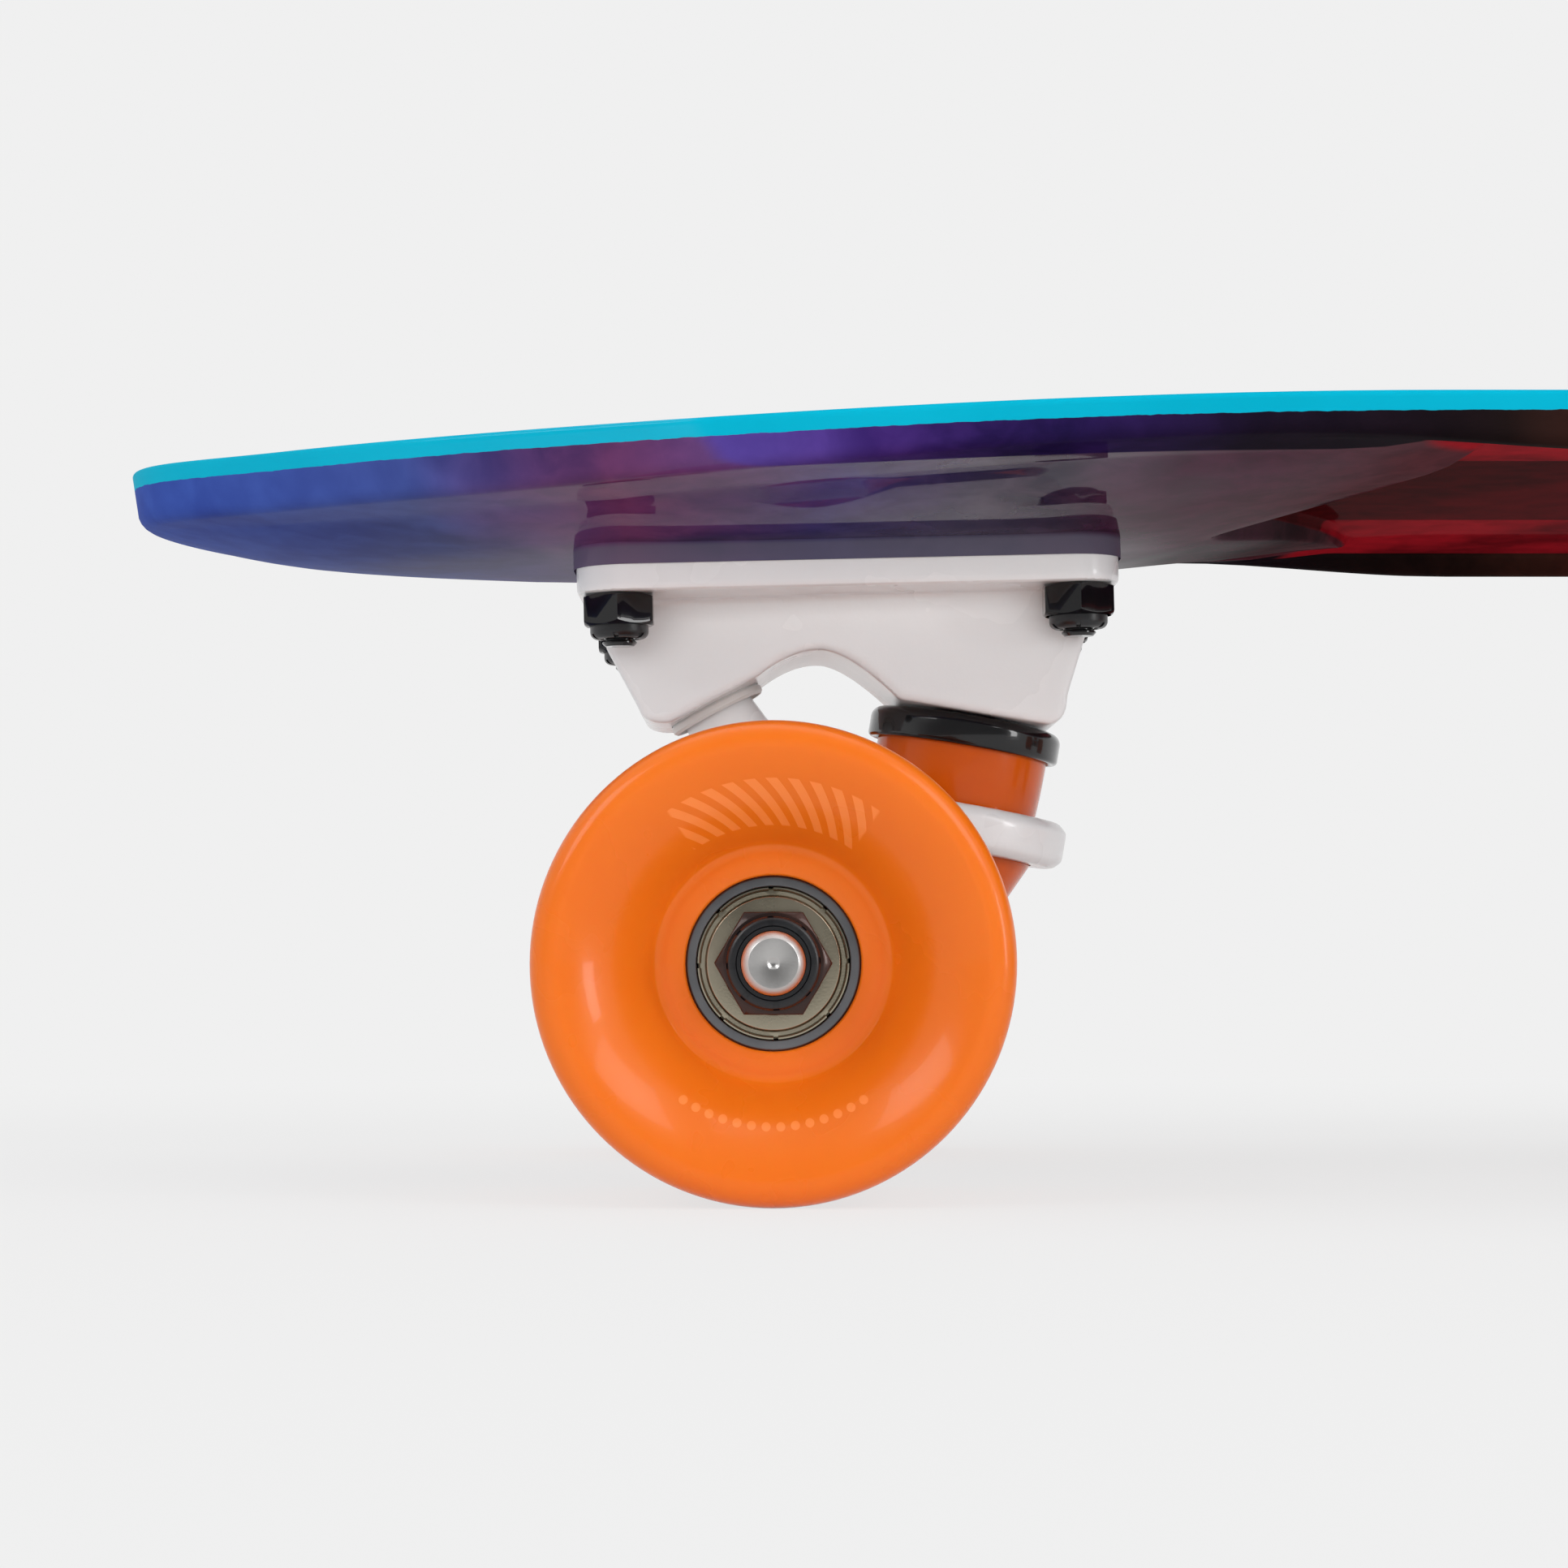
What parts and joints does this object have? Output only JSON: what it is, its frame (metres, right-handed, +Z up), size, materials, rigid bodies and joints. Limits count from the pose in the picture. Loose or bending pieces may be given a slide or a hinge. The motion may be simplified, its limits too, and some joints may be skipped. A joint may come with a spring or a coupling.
{
  "type": "cruiser skateboard",
  "caption": "Short plastic cruiser skateboard with a kick tail, on steering cast trucks with soft wheels turning on shielded bearings.",
  "frame": {"origin": "on the ground under the middle of the board's length and width", "axes": "+X along the board towards the kick tail (the nose points along -X), +Y towards the rider's right when facing the nose, +Z up"},
  "size_m": [0.572, 0.151, 0.1297],
  "materials": {
    "deck_plastic": "glossy moulded plastic, cyan through, with a printed wall and underside",
    "white_casting": "white powder coat over a casting",
    "wheel_urethane": "satin orange cast urethane",
    "bushing_urethane": "dark translucent orange urethane",
    "cup_plastic": "pale moulded plastic",
    "black_steel": "glossy black oxide",
    "dark_steel": "dark brown oiled steel",
    "bright_steel": "bright turned steel"
  },
  "bodies": {
    "board": {"deck": "deck_plastic", "front_baseplate": "white_casting", "front_pivot_cup": "cup_plastic", "front_kingpin": "black_steel", "front_kingpin_nut": "black_steel", "front_upper_bushing": "bushing_urethane", "front_lower_bushing": "bushing_urethane", "front_upper_washer": "black_steel", "front_lower_washer": "black_steel", "front_bolt_1": "black_steel", "front_bolt_2": "black_steel", "front_bolt_3": "black_steel", "front_bolt_4": "black_steel", "front_lock_nut_1": "black_steel", "front_lock_nut_2": "black_steel", "front_lock_nut_3": "black_steel", "front_lock_nut_4": "black_steel", "rear_baseplate": "white_casting", "rear_pivot_cup": "cup_plastic", "rear_kingpin": "black_steel", "rear_kingpin_nut": "black_steel", "rear_upper_bushing": "bushing_urethane", "rear_lower_bushing": "bushing_urethane", "rear_upper_washer": "black_steel", "rear_lower_washer": "black_steel", "rear_bolt_1": "black_steel", "rear_bolt_2": "black_steel", "rear_bolt_3": "black_steel", "rear_bolt_4": "black_steel", "rear_lock_nut_1": "black_steel", "rear_lock_nut_2": "black_steel", "rear_lock_nut_3": "black_steel", "rear_lock_nut_4": "black_steel"},
    "front_truck": {"front_hanger": "white_casting", "front_axle": "bright_steel", "front_left_axle_nut": "dark_steel", "front_right_axle_nut": "dark_steel", "front_left_bearing_core": "bright_steel", "front_right_bearing_core": "bright_steel"},
    "rear_truck": {"rear_hanger": "white_casting", "rear_axle": "bright_steel", "rear_left_axle_nut": "dark_steel", "rear_right_axle_nut": "dark_steel", "rear_left_bearing_core": "bright_steel", "rear_right_bearing_core": "bright_steel"},
    "front_left_roller": {"front_left_wheel": "wheel_urethane", "front_left_outer_bearing": "bright_steel", "front_left_inner_bearing": "bright_steel"},
    "front_right_roller": {"front_right_wheel": "wheel_urethane", "front_right_outer_bearing": "bright_steel", "front_right_inner_bearing": "bright_steel"},
    "rear_left_roller": {"rear_left_wheel": "wheel_urethane", "rear_left_outer_bearing": "bright_steel", "rear_left_inner_bearing": "bright_steel"},
    "rear_right_roller": {"rear_right_wheel": "wheel_urethane", "rear_right_outer_bearing": "bright_steel", "rear_right_inner_bearing": "bright_steel"}
  },
  "joints": [
    {"name": "front_steer", "type": "hinge", "parent": "board", "child": "front_truck", "pos_m": [-0.2047, 0, 0.0715], "axis": [0.8505, 0, -0.5259], "range_deg": [-15, 15], "stiffness_Nm_per_rad": 40, "deforming": ["front_upper_bushing", "front_lower_bushing"]},
    {"name": "rear_steer", "type": "hinge", "parent": "board", "child": "rear_truck", "pos_m": [0.1587, 0, 0.0715], "axis": [-0.8505, 0, -0.5259], "range_deg": [-15, 15], "stiffness_Nm_per_rad": 40, "deforming": ["rear_upper_bushing", "rear_lower_bushing"]},
    {"name": "front_left_spin", "type": "hinge", "parent": "front_truck", "child": "front_left_roller", "pos_m": [-0.194, -0.053, 0.03], "axis": [0, 1, 0], "continuous": true},
    {"name": "front_right_spin", "type": "hinge", "parent": "front_truck", "child": "front_right_roller", "pos_m": [-0.194, 0.053, 0.03], "axis": [0, 1, 0], "continuous": true},
    {"name": "rear_left_spin", "type": "hinge", "parent": "rear_truck", "child": "rear_left_roller", "pos_m": [0.148, -0.053, 0.03], "axis": [0, 1, 0], "continuous": true},
    {"name": "rear_right_spin", "type": "hinge", "parent": "rear_truck", "child": "rear_right_roller", "pos_m": [0.148, 0.053, 0.03], "axis": [0, 1, 0], "continuous": true}
  ]
}
